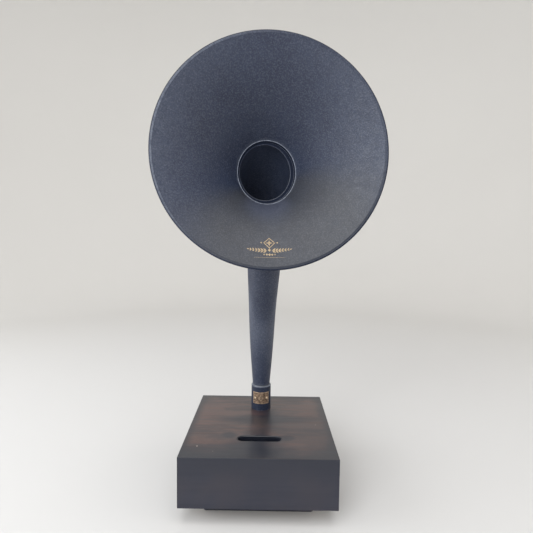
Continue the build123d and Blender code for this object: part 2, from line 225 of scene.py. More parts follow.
def wood_fibres(shade, grain, seed):
    """The shifted coordinates of one piece of timber, and its fibres as noise stretched along the grain."""
    along, across = 5.0, 85.0
    scale = tuple(along if axis == grain else across for axis in "XYZ")
    shifted = shade.node("VectorMath", shade.place, (seed, 2 * seed, 3 * seed), operation="ADD").outputs[0]
    return shifted, shade.noise(1.6, 8.0, 0.65, 0.8, shade.stretch(scale, shifted))


def wood_skin(shade, fibres, depth):
    """The lacquer's roughness, and the faint relief of the fibres under it."""
    shade.feed("Roughness", shade.remap(fibres, 0.3, 0.7, 0.34, 0.46))
    shade.feed("Normal", shade.bump(fibres, depth, 0.25))


def stained_wood(name, grain, seed):
    """Blue-black stain over hardwood, nearly hiding the grain; grain is the axis the fibres run along."""
    shade = Shade(name, Coat_Weight=0.3, Coat_Roughness=0.25)
    shifted, fibres = wood_fibres(shade, grain, seed)
    dark, light = colour(0.0062, 0.0090, 0.0230), colour(0.0150, 0.0165, 0.0315)
    tone = shade.mix(shade.remap(fibres, 0.30, 0.70), dark, light)
    cloud = shade.noise(15.0, 3.0, 0.5, 0.3, shifted)
    tone = shade.mix(shade.remap(cloud, 0.35, 0.65, 0.0, 0.8), tone, colour(0.0225, 0.0195, 0.0300))
    # Darker towards the top of each board: painted shade.
    height = shade.node("SeparateXYZ", shade.place).outputs[2]
    high = shade.remap(height, BOX_TOP - 45.0 * MM, BOX_TOP - 2.0 * MM, 0.0, 0.75)
    shade.feed("Base Color", shade.mix(high, tone, colour(0.0058, 0.0080, 0.0190)))
    wood_skin(shade, fibres, 0.12 * MM)
    return shade.material


TOP_STAINS = (               # middle and half sizes in mm on the top board, and how much of the red shows
    (-62.0, 12.0, 62.0, 92.0, 1.0), (52.0, 62.0, 48.0, 44.0, 0.85), (-20.0, 60.0, 40.0, 40.0, 0.55),
    (58.0, -30.0, 50.0, 60.0, 0.55), (42.0, -69.0, 34.0, 9.0, 0.7),
)
TOP_SHADES = (               # the same for the darker patches
    (4.0, 10.0, 66.0, 15.0, 0.8), (-44.0, -43.0, 12.0, 9.0, 0.9), (39.0, -49.0, 12.0, 8.0, 0.8),
    (-6.0, -76.0, 44.0, 22.0, 0.7), (-70.0, -95.0, 60.0, 18.0, 0.75),
)
TOP_CHIPS = ((-84.2, -75.1, 1.1, 1.0), (84.5, -6.9, 0.8, 0.5), (-61.0, -88.0, 0.6, 0.4))


def stained_top():
    """The same stain rubbed thin on the top face, with reddish wood showing in soft patches."""
    shade = Shade("stained_top", Coat_Weight=0.4, Coat_Roughness=0.22)
    shifted, fibres = wood_fibres(shade, "X", 1.7)
    wobble = shade.noise(30.0, 4.0, 0.6, 0.0, shifted)
    smudges = shade.noise(1.0, 5.0, 0.6, 0.5, shade.stretch((13.0, 60.0, 60.0), shifted))
    x, y, z = shade.node("SeparateXYZ", shade.place).outputs

    def cover(spots, reach, wander):
        """How far inside any of the oval spots a point is, from 0 outside to the spot's own strength."""
        total = None
        for middle_x, middle_y, half_x, half_y, strength in spots:
            across = shade.math("DIVIDE", shade.math("SUBTRACT", x, middle_x * MM), half_x * MM)
            along = shade.math("DIVIDE", shade.math("SUBTRACT", y, middle_y * MM), half_y * MM)
            far = shade.math("SQRT", shade.math("ADD", shade.math("MULTIPLY", across, across),
                                                shade.math("MULTIPLY", along, along)))
            far = shade.math("ADD", far, shade.math("MULTIPLY", shade.math("SUBTRACT", wobble, 0.5), wander))
            spot = shade.remap(far, 1.0 + reach, 1.0 - reach, 0.0, strength)
            total = shade.math("MAXIMUM", total, spot) if total else spot
        return total

    dark, bare = colour(0.0110, 0.0135, 0.0230), colour(0.1000, 0.0560, 0.0500)
    tone = shade.mix(shade.remap(fibres, 0.35, 0.68), dark, colour(0.0235, 0.0215, 0.0275))
    thin = shade.math("MULTIPLY", cover(TOP_STAINS, 0.45, 1.3), shade.remap(fibres, 0.30, 0.62, 0.55, 1.0))
    thin = shade.math("MULTIPLY", thin, shade.remap(smudges, 0.46, 0.68, 1.0, 0.35))
    reach = shade.math("MAXIMUM", shade.math("ABSOLUTE", x), shade.math("ABSOLUTE", y))
    thin = shade.math("MULTIPLY", thin, shade.remap(reach, 0.995 * BOX_HALF, 0.86 * BOX_HALF, 0.1, 1.0))
    tone = shade.mix(thin, tone, bare)
    tone = shade.mix(cover(TOP_SHADES, 0.40, 0.9), tone, dark)
    chips = cover([(cx, cy, half, half, strength) for cx, cy, half, strength in TOP_CHIPS], 0.25, 0.4)
    tone = shade.mix(chips, tone, colour(0.34, 0.29, 0.25))
    # Off the top face and in a narrow band round the slot, one dark colour: painted shade in and round the
    # slot, and the dark stain on the board's edges.
    along = shade.math("MAXIMUM", shade.math("SUBTRACT", shade.math("ABSOLUTE", x), SLOT_HALF_RUN), 0.0)
    across = shade.math("SUBTRACT", y, SLOT.y)
    from_middle = shade.math("SQRT", shade.math("ADD", shade.math("MULTIPLY", along, along),
                                                shade.math("MULTIPLY", across, across)))
    off_slot = shade.remap(from_middle, SLOT_HALF_WIDTH + 0.6 * MM, SLOT_HALF_WIDTH + 2.8 * MM)
    on_top = shade.math("MULTIPLY", off_slot, shade.remap(z, BOX_TOP - 1.0 * MM, BOX_TOP - 0.2 * MM))
    shade.feed("Base Color", shade.mix(on_top, colour(0.0075, 0.0095, 0.0180), tone))
    wood_skin(shade, fibres, 0.2 * MM)
    return shade.material


def plain_wood():
    """Unfinished inner timber."""
    shade = Shade("plain_wood")
    fibres = shade.noise(1.8, 7.0, 0.6, 0.6, shade.stretch((6.0, 70.0, 70.0)))
    shade.feed("Base Color", shade.mix(fibres, colour(0.30, 0.19, 0.10), colour(0.52, 0.37, 0.22)))
    shade.feed("Roughness", shade.remap(fibres, 0.3, 0.7, 0.60, 0.78))
    shade.feed("Normal", shade.bump(fibres, 0.0003, 0.4))
    return shade.material


def felt():
    """Black felt: matted fibres with a little sheen."""
    shade = Shade("felt", Sheen_Weight=0.35, Sheen_Roughness=0.5)
    mat = shade.noise(1400.0, 4.0, 0.7)
    tufts = shade.noise(260.0, 3.0, 0.6)
    shade.feed("Base Color", shade.mix(mat, colour(0.008, 0.009, 0.013), colour(0.030, 0.032, 0.042)))
    shade.feed("Roughness", shade.remap(tufts, 0.3, 0.7, 0.85, 1.0))
    shade.feed("Normal", shade.bump(mat, 0.0005, 0.7, shade.bump(tufts, 0.0006, 0.5)))
    return shade.material


def foam():
    """Closed-cell foam strip."""
    shade = Shade("foam")
    cells = shade.grains(1600.0)
    shade.feed("Base Color", shade.mix(cells, colour(0.015, 0.015, 0.016), colour(0.05, 0.05, 0.05)))
    shade.feed("Roughness", shade.remap(cells, 0.0, 0.6, 0.8, 0.95))
    shade.feed("Normal", shade.bump(cells, 0.0003, 0.8))
    return shade.material


def old_brass():
    """Aged brass: brown in the hollows, rubbed golden where hands and cloths reach."""
    shade = Shade("old_brass", Metallic=0.7)
    blotches = shade.noise(1.0, 5.0, 0.65, 0.0, shade.stretch((260.0, 260.0, 520.0)))
    brushed = shade.noise(60.0, 4.0, 0.6, 0.0, shade.stretch((4.0, 4.0, 60.0)))
    tarnish, brass = colour(0.068, 0.038, 0.030), colour(0.33, 0.225, 0.155)
    tone = shade.mix(shade.remap(blotches, 0.38, 0.62), tarnish, brass)
    uneven = shade.remap(blotches, 0.25, 0.6, 0.5, 1.0)
    worn_and_lit = shade.math("MULTIPLY", shade.attribute("wear_and_light"), uneven, clamp=True)
    shade.feed("Base Color", shade.mix(worn_and_lit, tone, colour(0.70, 0.56, 0.40)))
    shade.feed("Roughness", shade.remap(brushed, 0.3, 0.7, 0.38, 0.58))
    shade.feed("Normal", shade.bump(blotches, 0.0001, 0.5, shade.bump(brushed, 0.00005, 0.4)))
    return shade.material


def gold_print():
    """Gold ink on the paint, thin in places."""
    shade = Shade("gold_print", Metallic=0.3)
    thin = shade.noise(700.0, 4.0, 0.7)
    gold, faded = colour(0.46, 0.35, 0.22), colour(0.15, 0.12, 0.09)
    shade.feed("Base Color", shade.mix(shade.remap(thin, 0.48, 0.66), gold, faded))
    shade.feed("Roughness", shade.remap(thin, 0.3, 0.7, 0.42, 0.60))
    shade.feed("Normal", shade.bump(shade.noise(420.0, 3.0, 0.6), 0.00035, 0.55))
    return shade.material


def steel():
    """Zinc-plated steel of the hidden hardware."""
    shade = Shade("steel", Metallic=1.0)
    turned = shade.noise(70.0, 4.0, 0.6, 0.0, shade.stretch((1.0, 1.0, 30.0)))
    shade.feed("Base Color", shade.mix(turned, colour(0.34, 0.35, 0.36), colour(0.56, 0.57, 0.58)))
    shade.feed("Roughness", shade.remap(turned, 0.3, 0.7, 0.30, 0.48))
    shade.feed("Normal", shade.bump(turned, 0.00005, 0.4))
    return shade.material


def studio_surface():
    """The pale sweep that the object stands on, a little greyer under the object: painted shade."""
    shade = Shade("studio_surface", Roughness=0.85)
    tone = shade.noise(1.5, 2.0)
    pale = shade.mix(tone, colour(0.675, 0.664, 0.645), colour(0.695, 0.684, 0.667))
    away = shade.node("VectorMath", shade.place, operation="LENGTH").outputs["Value"]
    shade.feed("Base Color", shade.mix(shade.remap(away, 0.5, 2.0), colour(0.608, 0.604, 0.602), pale))
    return shade.material


PAINT = horn_paint()
BRASS = old_brass()
PRINT = gold_print()
FELT = felt()


# ---- Mesh building
def finish_piece(piece, body, replaced):
    """Rides the piece on its body, and hides the CAD nodes it replaces."""
    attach(piece, body)
    if replaced:
        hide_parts(*replaced)


def mesh_piece(name, points, faces, material, wear_and_light=None, turned=False):
    """A smooth mesh object; wear is one value a point; a turned piece belongs to the horn."""
    mesh = bpy.data.meshes.new(name)
    mesh.from_pydata([tuple(point) for point in points], [], faces)
    if wear_and_light:
        values = mesh.attributes.new("wear_and_light", "FLOAT", "POINT")
        values.data.foreach_set("value", wear_and_light)
    work = bmesh.new()
    work.from_mesh(mesh)
    bmesh.ops.recalc_face_normals(work, faces=work.faces)
    work.to_mesh(mesh)
    work.free()
    place = Matrix.Translation((SOCKET_X, SOCKET_Y, 0.0))
    if turned:
        place = place @ Matrix.Rotation(HORN_TURN, 4, "Z")
    mesh.transform(place)
    mesh.shade_smooth()
    mesh.materials.append(material)
    piece = bpy.data.objects.new(name, mesh)
    bpy.context.scene.collection.objects.link(piece)
    return piece


def sharpen(piece, degrees):
    """Marks edges sharper than this angle, so that smooth shading stops at them."""
    work = bmesh.new()
    work.from_mesh(piece.data)
    for edge in work.edges:
        if len(edge.link_faces) == 2 and edge.calc_face_angle() > radians(degrees):
            edge.smooth = False
    work.to_mesh(piece.data)
    work.free()


def ring_mesh(rows, wear_rows):
    """Points, faces and wear of a closed surface through rings; wear is one value or a list for each ring."""
    count = len(rows[0])
    points = [point for row in rows for point in row]
    wear_and_light = []
    for values in wear_rows:
        wear_and_light += values if isinstance(values, list) else [values] * count
    faces = []
    for i in range(len(rows)):
        low, high = i * count, (i + 1) % len(rows) * count
        for j in range(count):
            k = (j + 1) % count
            faces.append((low + j, low + k, high + k, high + j))
    return points, faces, wear_and_light


def full_turn(count=COLUMNS):
    """Evenly spaced angles round a ring, from its right side."""
    return [2 * math.pi * j / count for j in range(count)]


def oval(forward, height, lean, half_width, half_height, aside=0.0, count=COLUMNS):
    """A ring of points in a plane square to a direction that leans forward from vertical."""
    up = Vector((0.0, cos(lean), sin(lean)))
    centre = Vector((aside, -forward, height))
    return [centre + Vector((half_width * cos(angle), 0.0, 0.0)) + up * (half_height * sin(angle))
            for angle in full_turn(count)]


def spaced(low, high, count):
    return [low + (high - low) * i / (count - 1) for i in range(count)]


def swell(value, middle, reach):
    """1 at the middle, fading softly to 0 beyond its reach on both sides."""
    return math.exp(-((value - middle) / reach) ** 2)


# ---- Horn formulas
def neck_run(share, steps=120):
    """Reach forward and rise at this share of the neck's length, both per unit of that length."""
    reach = rise = 0.0
    for i in range(steps):
        lean = THROAT_LEAN * (share * (i + 0.5) / steps) ** BEND_POWER
        reach += sin(lean) * share / steps
        rise += cos(lean) * share / steps
    return reach, rise


NECK_LENGTH = (THROAT_HEIGHT - RING_THICKNESS * cos(THROAT_PLANE_LEAN) - NECK_FOOT) / neck_run(1.0)[1]
THROAT_FORWARD = neck_run(1.0)[0] * NECK_LENGTH + RING_THICKNESS * sin(THROAT_PLANE_LEAN)


def neck_half_width(share):
    """The neck's outer half width: a smooth curve through its outline's points."""
    spots = NECK_OUTLINE
    k = max(i for i in range(len(spots) - 1) if share >= spots[i][0])
    (x0, y0), (x1, y1) = spots[k], spots[k + 1]

    def slope(i):
        low, high = max(i - 1, 0), min(i + 1, len(spots) - 1)
        return (spots[high][1] - spots[low][1]) / (spots[high][0] - spots[low][0])

    t, span = (share - x0) / (x1 - x0), x1 - x0
    value = ((2 * t**3 - 3 * t**2 + 1) * y0 + (t**3 - 2 * t**2 + t) * span * slope(k)
             + (3 * t**2 - 2 * t**3) * y1 + (t**3 - t**2) * span * slope(k + 1))
    return value * MM


def neck_ring(share, inset):
    """The neck's section at this share of its length, moved in from its outer face."""
    reach, rise = neck_run(share)
    lean = THROAT_PLANE_LEAN * share**BEND_POWER
    half = neck_half_width(share) - inset
    tall = half * (1 + THROAT_OVAL * share**OVAL_POWER)
    sway = NECK_SWAY * sin(math.pi * share**SWAY_POWER) ** 4
    return oval(reach * NECK_LENGTH, NECK_FOOT + rise * NECK_LENGTH, lean, half, tall, sway)


def neck_tone_and_light(share):
    """Marks round the neck: a paler band a quarter of the way up; just under the bell, painted highlights on
    the sides and a painted shadow of the bell on the front.
    """
    band_at, band_reach = 0.27, 0.10       # shares of the neck's length
    shade_at, shade_reach = 0.38, 0.07
    highlight_left, highlight_right, shadow_front = 0.26, 0.16, 0.24
    pale_band = 0.12 * swell(share, band_at, band_reach)
    under_bell = swell(share, shade_at, shade_reach)
    ring = []
    for angle in full_turn():
        left, right, front = max(0.0, -cos(angle)), max(0.0, cos(angle)), max(0.0, -sin(angle))
        sides = highlight_left * left**3 + highlight_right * right**3
        ring.append(pale_band + under_bell * (sides - shadow_front * front**2))
    return ring


def neck_piece(name, first, last, rows, nodes):
    """One length of the neck as a double-walled shell with small rounded ends."""
    edge = 0.4 * MM
    shares = spaced(first, last, rows)
    small = edge / NECK_LENGTH
    outer = [neck_ring(first + small * 0.1, edge)] + [neck_ring(first + small, 0.0)]
    outer += [neck_ring(share, 0.0) for share in shares[1:-1]]
    outer += [neck_ring(last - small, 0.0), neck_ring(last, edge)]
    inner = [neck_ring(share, NECK_WALL) for share in reversed(shares)]
    faded = [neck_tone_and_light(share) for share in shares[1:-1]]
    wear_and_light = [0.5, 0.25] + faded + [faded[-1], faded[-1]] + [0.06] * len(inner)
    points, faces, wear_and_light = ring_mesh(outer + inner, wear_and_light)
    piece = mesh_piece(name, points, faces, PAINT, wear_and_light, turned=True)
    finish_piece(piece, "horn", nodes)


BELL_DEPTH = (MOUTH_FORWARD - THROAT_FORWARD) / cos(MOUTH_TILT)
THROAT_MEAN = (THROAT_HALF_WIDTH + THROAT_HALF_HEIGHT) / 2
FLARE_END = 2 * math.atan2(MOUTH_RADIUS - THROAT_MEAN, BELL_DEPTH) - FLARE_START
FLARE_RADIUS = BELL_DEPTH / (sin(FLARE_END) - sin(FLARE_START))
THROAT_OFFSET = THROAT_HEIGHT - (MOUTH_HEIGHT - (MOUTH_FORWARD - THROAT_FORWARD) * math.tan(MOUTH_TILT))
RIM_CENTRE_RADIUS = MOUTH_RADIUS - BEAD_RADIUS
ARC_CENTRE_RADIUS = THROAT_MEAN + FLARE_RADIUS * cos(FLARE_START)
RIM_SLOPE = math.acos((ARC_CENTRE_RADIUS - RIM_CENTRE_RADIUS) / (FLARE_RADIUS - BEAD_RADIUS))
RIM_LIT, RIM_SHADED = 165.0, 300.0    # degrees round the rim, where its painted highlight and its painted shade are strongest
RIM_BACK = FLARE_RADIUS * (sin(FLARE_END) - sin(RIM_SLOPE)) + BEAD_RADIUS * sin(RIM_SLOPE)


def bell_oval(slope, offset=0.0):
    """Forward reach, height, lean and half sizes of the bell's section where its flare has this slope."""
    depth = FLARE_RADIUS * (sin(slope) - sin(FLARE_START)) - offset * sin(slope)
    radius = THROAT_MEAN + FLARE_RADIUS * (cos(FLARE_START) - cos(slope)) + offset * cos(slope)
    left = 1 - depth / BELL_DEPTH
    back = BELL_DEPTH - depth
    forward = MOUTH_FORWARD - back * cos(MOUTH_TILT)
    height = MOUTH_HEIGHT - back * sin(MOUTH_TILT) + THROAT_OFFSET * left**3
    lean = math.pi / 2 - MOUTH_TILT + (THROAT_PLANE_LEAN - math.pi / 2 + MOUTH_TILT) * left**2
    half_width = radius + (THROAT_HALF_WIDTH - THROAT_MEAN) * left**2
    half_height = radius + (THROAT_HALF_HEIGHT - THROAT_MEAN) * left**2
    return forward, height, lean, half_width, half_height


def round_rim(count, towards):
    """How much each of the points round the rim lies towards this angle, from 0 to 1."""
    return [max(0.0, cos(angle - radians(towards))) for angle in full_turn(count)]


def bell():
    """The flared sheet, inner and outer face, from inside the throat ring to where it rolls over the rim."""
    painted_side_light, groove_shade_strength, lit_crest, dim_crest = 0.14, 0.50, 0.42, 0.6
    # Painted light on the outer bell: paler at both sides, more on the left, less low down.
    sides = [abs(cos(angle)) * (0.75 - 0.25 * cos(angle)) * min(1.0, 1 + 0.8 * sin(angle))
             for angle in full_turn()]
    light_and_wear, dark = round_rim(COLUMNS, RIM_LIT), round_rim(COLUMNS, RIM_SHADED)
    # Painted shade in a dark line just inside the rim, strongest at the lower right; on the crest, a painted
    # highlight at the left and painted shade at the lower right.
    painted_groove_shade = [-0.10 - groove_shade_strength * shade for shade in dark]
    crest = [lit_crest * light - dim_crest * shade for light, shade in zip(light_and_wear, dark)]
    before_rim = (2.5, 2.1, 1.4, 0.0)      # mm from the rim to the rings of the painted dark line (painted shade) and the crest
    band, *edges = [RIM_SLOPE - distance * MM / FLARE_RADIUS for distance in before_rim]
    slopes = spaced(FLARE_START, band, 56) + edges
    inner = [oval(*bell_oval(slope)) for slope in slopes]
    outer = [oval(*bell_oval(slope, BELL_WALL)) for slope in spaced(RIM_SLOPE, FLARE_START, 44)]
    wear_and_light = [0.2, 0.05]
    for i in range(len(wear_and_light), len(inner) - len(edges)):
        outward = max(0.0, i / len(inner) - 0.5) / 0.5
        wear_and_light.append([painted_side_light * outward * share for share in sides])
    wear_and_light += [painted_groove_shade, crest, crest] + [0.0] * len(outer)
    points, faces, wear_and_light = ring_mesh(inner + outer, wear_and_light)
    piece = mesh_piece("bell_sheet", points, faces, PAINT, wear_and_light, turned=True)
    sharpen(piece, 40.0)
    finish_piece(piece, "horn", ("bell",))


def rim():
    """The roll round the mouth: its crest a little paler all round, with a painted highlight on the left, and
    painted shade off the crest and at the lower right.
    """
    rows, wear_and_light = [], []
    count, around_roll = 2 * COLUMNS, 40
    crest_at, crest_reach = radians(115.0), radians(22.0)      # from its outer side, over its front
    light_and_wear, dark = round_rim(count, RIM_LIT), round_rim(count, RIM_SHADED)
    for angle in full_turn(around_roll):
        radius = RIM_CENTRE_RADIUS + BEAD_RADIUS * cos(angle)
        ahead = BEAD_RADIUS * sin(angle) - RIM_BACK
        forward = MOUTH_FORWARD + ahead * cos(MOUTH_TILT)
        height = MOUTH_HEIGHT + ahead * sin(MOUTH_TILT)
        rows.append(oval(forward, height, math.pi / 2 - MOUTH_TILT, radius, radius, 0.0, count))
        crest = swell(angle, crest_at, crest_reach)
        # Painted highlight on the crest at the left; painted shade off the crest and at the lower right.
        wear_and_light.append([crest * (0.07 + 0.7 * light - 0.5 * shade) - (1 - crest) * (0.45 + 0.25 * shade)
                     for light, shade in zip(light_and_wear, dark)])
    points, faces, wear_and_light = ring_mesh(rows, wear_and_light)
    piece = mesh_piece("rim_roll", points, faces, PAINT, wear_and_light, turned=True)
    finish_piece(piece, "horn", ("rim_bead",))


def throat_ring():
    """The oval ring between elbow and bell: a thin pale lip in front, then a step to its narrower bore, with
    painted shade in its recesses and a painted highlight on the inner edges at the lower right.
    """
    front = (THROAT_HALF_WIDTH, THROAT_HALF_HEIGHT, 0.0)
    back = (RING_BORE_HALF_WIDTH, RING_BORE_HALF_HEIGHT, -RING_BORE_OFFSET)
    step = tuple(0.32 * narrow + 0.68 * wide for narrow, wide in zip(back, front))
    lip, proud, deep, thick = 1.7, 3.2, 2.6, RING_THICKNESS / MM
    profile = (              # which oval, outwards from it and back from the front plane in mm, and how pale: above 0 paler, below 0 painted shade
        (front, -lip, deep, -1.0), (front, -lip, 0.9, -1.0), (front, -1.5, 0.4, -0.9),
        (front, -1.0, 0.15, -0.7), (front, -0.6, 0.0, 0.0), (front, -0.35, -0.2, 0.9),
        (front, -0.1, -0.28, 1.0), (front, 0.2, -0.15, 0.8), (front, 0.4, 0.2, 0.1),
        (front, 1.2, 0.4, 0.0), (front, 2.2, 0.1, 0.0), (front, 2.9, 0.35, 0.3),
        (front, proud, 1.0, 0.4), (front, proud, thick - 1.0, 0.3), (front, 2.9, thick - 0.3, 0.1),
        (front, 2.2, thick, 0.0), (back, 0.5, thick, 0.0), (back, 0.0, thick - 0.3, 0.0),
        (back, 0.0, 3.2, 0.0), (back, 0.15, 2.75, 0.6), (back, 0.5, deep, 0.0), (back, 1.0, deep, -1.0),
        (step, -0.4, deep, -1.0), (step, 0.0, 2.45, 0.5), (step, 0.4, deep, -1.0),
    )
    rows = []
    for (half_width, half_height, aside), outwards, behind, _ in profile:
        forward = THROAT_FORWARD - behind * MM * sin(THROAT_PLANE_LEAN)
        height = THROAT_HEIGHT - behind * MM * cos(THROAT_PLANE_LEAN)
        rows.append(oval(forward, height, THROAT_PLANE_LEAN,
                         half_width + outwards * MM, half_height + outwards * MM, aside))
    # Painted highlight on the inner edges, strongest at the lower right.
    lit_lower_right = [0.5 + 0.5 * cos(angle + radians(35.0)) for angle in full_turn()]
    wear_and_light = []
    for oval_used, _, _, light_and_wear in profile:
        inner_edge = oval_used is not front and light_and_wear > 0
        wear_and_light.append([light_and_wear * share for share in lit_lower_right] if inner_edge else light_and_wear)
    points, faces, wear_and_light = ring_mesh(rows, wear_and_light)
    piece = mesh_piece("throat_collar", points, faces, PAINT, wear_and_light, turned=True)
    sharpen(piece, 60.0)
    finish_piece(piece, "horn", ("throat_ring",))


def socket_collar():
    """The collar on the top board, its lip paler and its outer wall darker with painted shade, with the bore
    that the horn stands in.
    """
    sound_bore, horn_bore, tail, wall = 9.5, 13.55, 14.0, 16.1
    tail_end, seat, rounded, lip = -22.0, 4.0, 39.1, 39.7
    profile = (              # radius and height above the top board in mm, and how pale: above 0 paler, below 0 painted shade
        (sound_bore, tail_end, 0.0), (sound_bore, seat, 0.0), (horn_bore, seat, 0.0),
        (horn_bore, rounded, 0.1), (13.9, 39.55, 0.5), (14.4, lip, 0.7), (15.5, lip, 0.7),
        (15.9, 39.55, 0.7), (wall, rounded, 0.5), (wall, 38.2, -0.2), (wall, 37.0, -0.45),
        (wall, 20.0, -0.35), (wall, 2.4, -0.45), (16.0, 1.6, -0.4), (wall, 0.8, -0.3),
        (wall, 0.0, -0.3), (tail, 0.0, 0.0), (tail, tail_end, 0.0),
    )
    rows = [oval(0.0, BOX_TOP + height * MM, 0.0, radius * MM, radius * MM) for radius, height, _ in profile]
    points, faces, wear_and_light = ring_mesh(rows, [row[2] for row in profile])
    piece = mesh_piece("socket_collar", points, faces, PAINT, wear_and_light)
    sharpen(piece, 35.0)
    finish_piece(piece, "base", ("neck_socket",))


def nameplate():
    """The bent brass plate: a raised border, a plain field with a lozenge, and eased edges."""
    half_width = (plate_high.x - plate_low.x) / 2
    half_height = (plate_high.z - plate_low.z) / 2
    middle = (plate_high.z + plate_low.z) / 2
    thickness, raised = 0.8 * MM, 0.12 * MM
    border_in, border_half = 1.0, 0.5      # mm in from the plate's edge
    mark_half_width, mark_half_height, mark_edge = 3.0, 4.0, 0.22
    across, up = 66, 50
    half_angle = math.asin(half_width / (SOCKET_RADIUS + thickness))
    points, wear_and_light = [], []
    for face in (1, 0):
        for j in range(up + 1):
            v = 2 * j / up - 1
            for i in range(across + 1):
                u = 2 * i / across - 1
                rim_gap = min((1 - abs(u)) * half_width, (1 - abs(v)) * half_height) / MM
                border = max(0.0, 1 - abs(rim_gap - border_in) / border_half)
                x, z = abs(u) * half_width / MM, abs(v) * half_height / MM
                mark = max(0.0, 1 - abs(x / mark_half_width + z / mark_half_height - 1.0) / mark_edge)
                ease = min(1.0, rim_gap / 0.3)
                lift = thickness * (0.55 + 0.25 * ease) + raised * max(border, mark)
                radius = SOCKET_RADIUS + (lift if face else 0.0)
                angle = half_angle * u
                height = middle + half_height * v
                points.append(Vector((radius * sin(angle), -radius * cos(angle), height)))
                wear_and_light.append(min(1.0, 0.10 + 0.55 * max(border, mark)) if face else 0.0)
    faces = []
    row, sheet = across + 1, (across + 1) * (up + 1)
    for j in range(up):
        for i in range(across):
            a = j * row + i
            faces.append((a, a + 1, a + 1 + row, a + row))
            faces.append((sheet + a, sheet + a + row, sheet + a + 1 + row, sheet + a + 1))
    edge = list(range(row)) + [j * row + across for j in range(1, up + 1)]
    edge += [up * row + i for i in range(across - 1, -1, -1)] + [j * row for j in range(up - 1, 0, -1)]
    for first, second in zip(edge, edge[1:] + edge[:1]):
        faces.append((first, second, sheet + second, sheet + first))
    piece = mesh_piece("brass_plate", points, faces, BRASS, wear_and_light)
    finish_piece(piece, "base", ("nameplate",))


def plate_screws():
    """The two round-headed brass screws, each with a slot across its head."""
    middle = (plate_high.z + plate_low.z) / 2
    head_radius, head_height = 1.9 * MM, 1.25 * MM
    slot_half, slot_depth, sunk = 0.26 * MM, 0.55 * MM, 0.4 * MM
    base = SOCKET_RADIUS + 0.7 * MM
    rings, around = 14, 48
    covered, dome = 0.97, 0.96             # how far in the rings run, and how round the head is
    for name, angle, slot_angle in (("plate_screw_left", -34.0, 20.0), ("plate_screw_right", 34.0, -55.0)):
        turn = Matrix.Translation((0, 0, middle)) @ Matrix.Rotation(radians(angle), 4, "Z")
        turn = turn @ Matrix.Rotation(radians(90.0), 4, "X") @ Matrix.Translation((0, 0, base))
        rows = [[turn @ Vector((head_radius * cos(theta), head_radius * sin(theta), -sunk))
                 for theta in full_turn(around)]]
        for k in range(rings + 1):
            share = 1 - k / rings * covered
            row = []
            for theta in full_turn(around):
                x, y = head_radius * share * cos(theta), head_radius * share * sin(theta)
                height = head_height * math.sqrt(max(0.0, 1 - share**2 * dome))
                across = abs(x * cos(radians(slot_angle)) + y * sin(radians(slot_angle)))
                if across < slot_half and k:
                    height = min(height, head_height - slot_depth)
                row.append(turn @ Vector((x, y, height)))
            rows.append(row)
        points, faces, wear_and_light = ring_mesh(rows, [0.0] + [1.0] * (rings + 1))
        piece = mesh_piece(name, points, faces, BRASS, wear_and_light)
        sharpen(piece, 50.0)
        finish_piece(piece, "base", ())
    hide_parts("nameplate_screws")


# ---- Ornament: a star in a lozenge over two leafy sprigs, dots and a rule, printed on the lower bell
PRINT_REACH = 101.5          # mm along the flare from the throat to the print's middle
PRINT_LIFT = 0.06 * MM       # how far the print's middle layer stands off the sheet


def print_point(x, y):
    """The point on the bell's inner face x sideways and y towards the throat, in mm, from the middle."""
    slope = FLARE_START + (PRINT_REACH - y) * MM / FLARE_RADIUS
    forward, height, lean, half_width, half_height = bell_oval(slope, -PRINT_LIFT)
    angle = -math.pi / 2 + x * MM / half_width
    up = Vector((0.0, cos(lean), sin(lean)))
    return (Vector((0.0, -forward, height)) + Vector((half_width * cos(angle), 0.0, 0.0))
            + up * (half_height * sin(angle)))


def outline_quads(corners, hollow, steps=6):
    """Quads between an outline round the origin and the same outline shrunk to its hollow share."""
    quads = []
    for (x0, y0), (x1, y1) in zip(corners, corners[1:] + corners[:1]):
        for i in range(steps):
            a, b = i / steps, (i + 1) / steps
            start = (x0 + (x1 - x0) * a, y0 + (y1 - y0) * a)
            end = (x0 + (x1 - x0) * b, y0 + (y1 - y0) * b)
            inner_start, inner_end = (tuple(hollow * part for part in corner) for corner in (start, end))
            quads.append([start, end, inner_end, inner_start])
    return quads


def moved(quads, x, y, turn=0.0):
    """The quads turned about the origin and then moved."""
    return [[(x + px * cos(turn) - py * sin(turn), y + px * sin(turn) + py * cos(turn)) for px, py in quad]
            for quad in quads]


def lozenge(half_width, half_height, hollow=0.05, steps=4):
    """A diamond about the origin, left open inside its hollow share."""
    corners = [(half_width, 0), (0, half_height), (-half_width, 0), (0, -half_height)]
    return outline_quads(corners, hollow, steps)


def star(points, long, short):
    """A star about the origin, from its long and short reaches."""
    corners = []
    for k in range(2 * points):
        reach, angle = (short if k % 2 else long), math.pi * k / points
        corners.append((reach * cos(angle), reach * sin(angle)))
    return outline_quads(corners, 0.05, 2)


def leaf(length, width):
    """A pointed leaf along +X from the origin."""
    corners = [(0, 0), (0.3 * length, -width), (0.65 * length, -0.8 * width), (length, 0),
               (0.65 * length, 0.8 * width), (0.3 * length, width)]
    corners = [(x - length / 2, y) for x, y in corners]
    return moved(outline_quads(corners, 0.05, 2), length / 2, 0)


def rule(x0, x1, height, half_start, half_end, steps=20):
    """Quads along a line whose height is a function of x and whose width changes along it."""
    quads = []
    for i in range(steps):
        a, b = i / steps, (i + 1) / steps
        xa, xb = x0 + (x1 - x0) * a, x0 + (x1 - x0) * b
        ha, hb = half_start + (half_end - half_start) * a, half_start + (half_end - half_start) * b
        ya, yb = height(xa), height(xb)
        quads.append([(xa, ya - ha), (xb, yb - hb), (xb, yb + hb), (xa, ya + ha)])
    return quads


